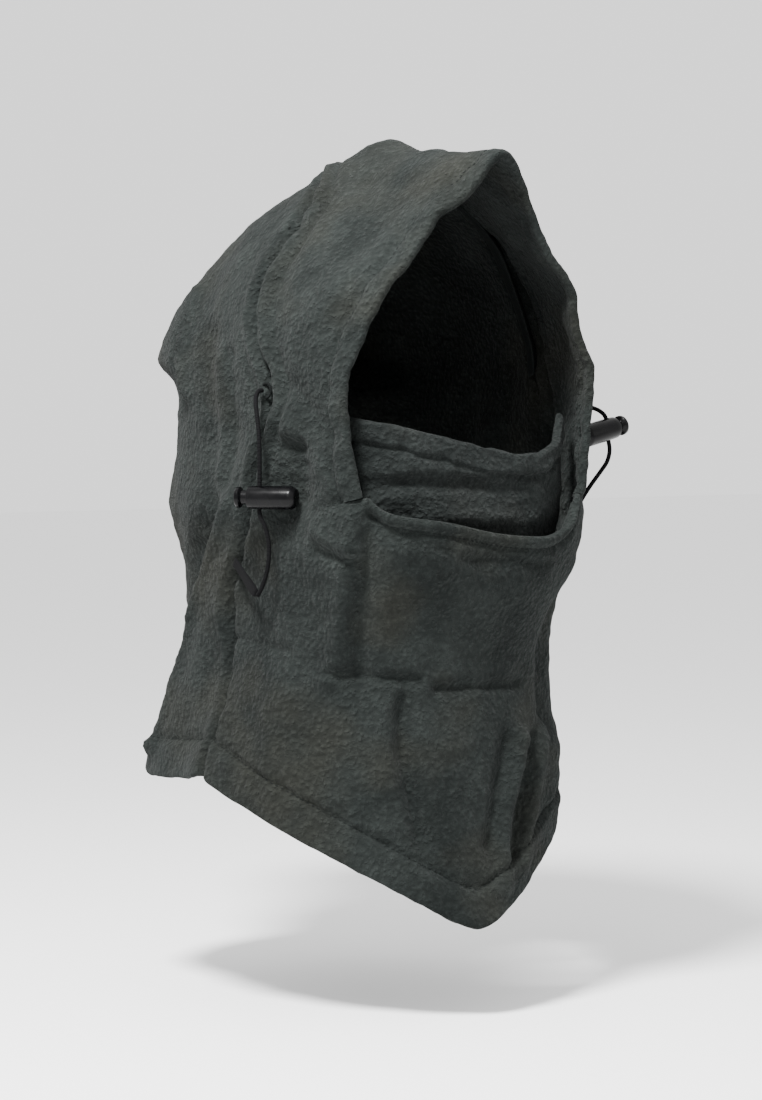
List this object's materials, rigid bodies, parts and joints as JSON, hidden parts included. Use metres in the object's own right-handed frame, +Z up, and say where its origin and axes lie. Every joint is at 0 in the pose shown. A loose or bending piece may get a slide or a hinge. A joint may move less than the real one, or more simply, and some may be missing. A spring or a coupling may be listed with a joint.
{
  "type": "balaclava",
  "caption": "Fleece balaclava with hood, long bib, pull-up half mask and an elastic drawcord with a spring cord lock at each side.",
  "frame": {"origin": "the middle of the wearer's head, between the ears", "axes": "+Z up along the wearer's neck and head, the wearer faces -Y, +X is the wearer's left"},
  "size_m": [0.2434, 0.303, 0.4216],
  "materials": {
    "fleece": "brushed grey-green polyester fleece, short nubby pile",
    "fleece_inside": "the same fleece, seen on its inner layers",
    "casing_tape": "flat woven polyester tape",
    "elastic_cord": "rubber core in a braided black sleeve",
    "thread": "polyester sewing thread",
    "tab": "black synthetic leather",
    "lock_plastic": "moulded black plastic with a slight sheen",
    "spring_steel": "drawn spring wire"
  },
  "bodies": {
    "garment": {"face_band": "fleece", "face_band_hem": "fleece_inside", "hood_side_right": "fleece", "cape_hem_right": "fleece_inside", "hood_side_left": "fleece", "cape_hem_left": "fleece_inside", "chest_panel": "fleece", "chest_hem": "fleece_inside", "chest_top_hem": "fleece_inside", "drawcord_casing": "casing_tape", "drawcord_crown": "elastic_cord", "drawcord_right": "elastic_cord", "drawcord_left": "elastic_cord", "cord_exit_ring_right": "thread", "cord_exit_ring_left": "thread", "cord_tab_right": "tab", "cord_tab_left": "tab", "opening_stitching": "thread", "chest_top_stitching": "thread", "chest_hem_stitching": "thread", "cape_hem_stitching_right": "thread", "side_seam_stitching_right": "thread", "cape_hem_stitching_left": "thread", "side_seam_stitching_left": "thread"},
    "mask": {"mask_panel": "fleece_inside", "mask_hem": "fleece_inside"},
    "lock_right": {"lock_barrel_right": "lock_plastic", "lock_spring_right": "spring_steel"},
    "plunger_right": {"lock_plunger_right": "lock_plastic"},
    "lock_left": {"lock_barrel_left": "lock_plastic", "lock_spring_left": "spring_steel"},
    "plunger_left": {"lock_plunger_left": "lock_plastic"}
  },
  "joints": [
    {"name": "mask_pull", "type": "slide", "parent": "garment", "child": "mask", "axis": [0, 0.3489, -0.9371], "range_m": [-0.008, 0.028]},
    {"name": "lock_slide_right", "type": "slide", "parent": "garment", "child": "lock_right", "axis": [0, 0, 1], "range_m": [0, 0.024]},
    {"name": "lock_slide_left", "type": "slide", "parent": "garment", "child": "lock_left", "axis": [-0.1862, -0.0388, 0.9817], "range_m": [-0.005, 0.002]},
    {"name": "plunger_press_right", "type": "slide", "parent": "lock_right", "child": "plunger_right", "axis": [0.6298, -0.7768, 0], "range_m": [0, 0.0038], "stiffness_N_per_m": 700, "springref_m": -0.0015, "deforming": ["lock_spring_right"]},
    {"name": "plunger_press_left", "type": "slide", "parent": "lock_left", "child": "plunger_left", "axis": [-0.9611, -0.2002, -0.1902], "range_m": [0, 0.0038], "stiffness_N_per_m": 700, "springref_m": -0.0015, "deforming": ["lock_spring_left"]}
  ]
}
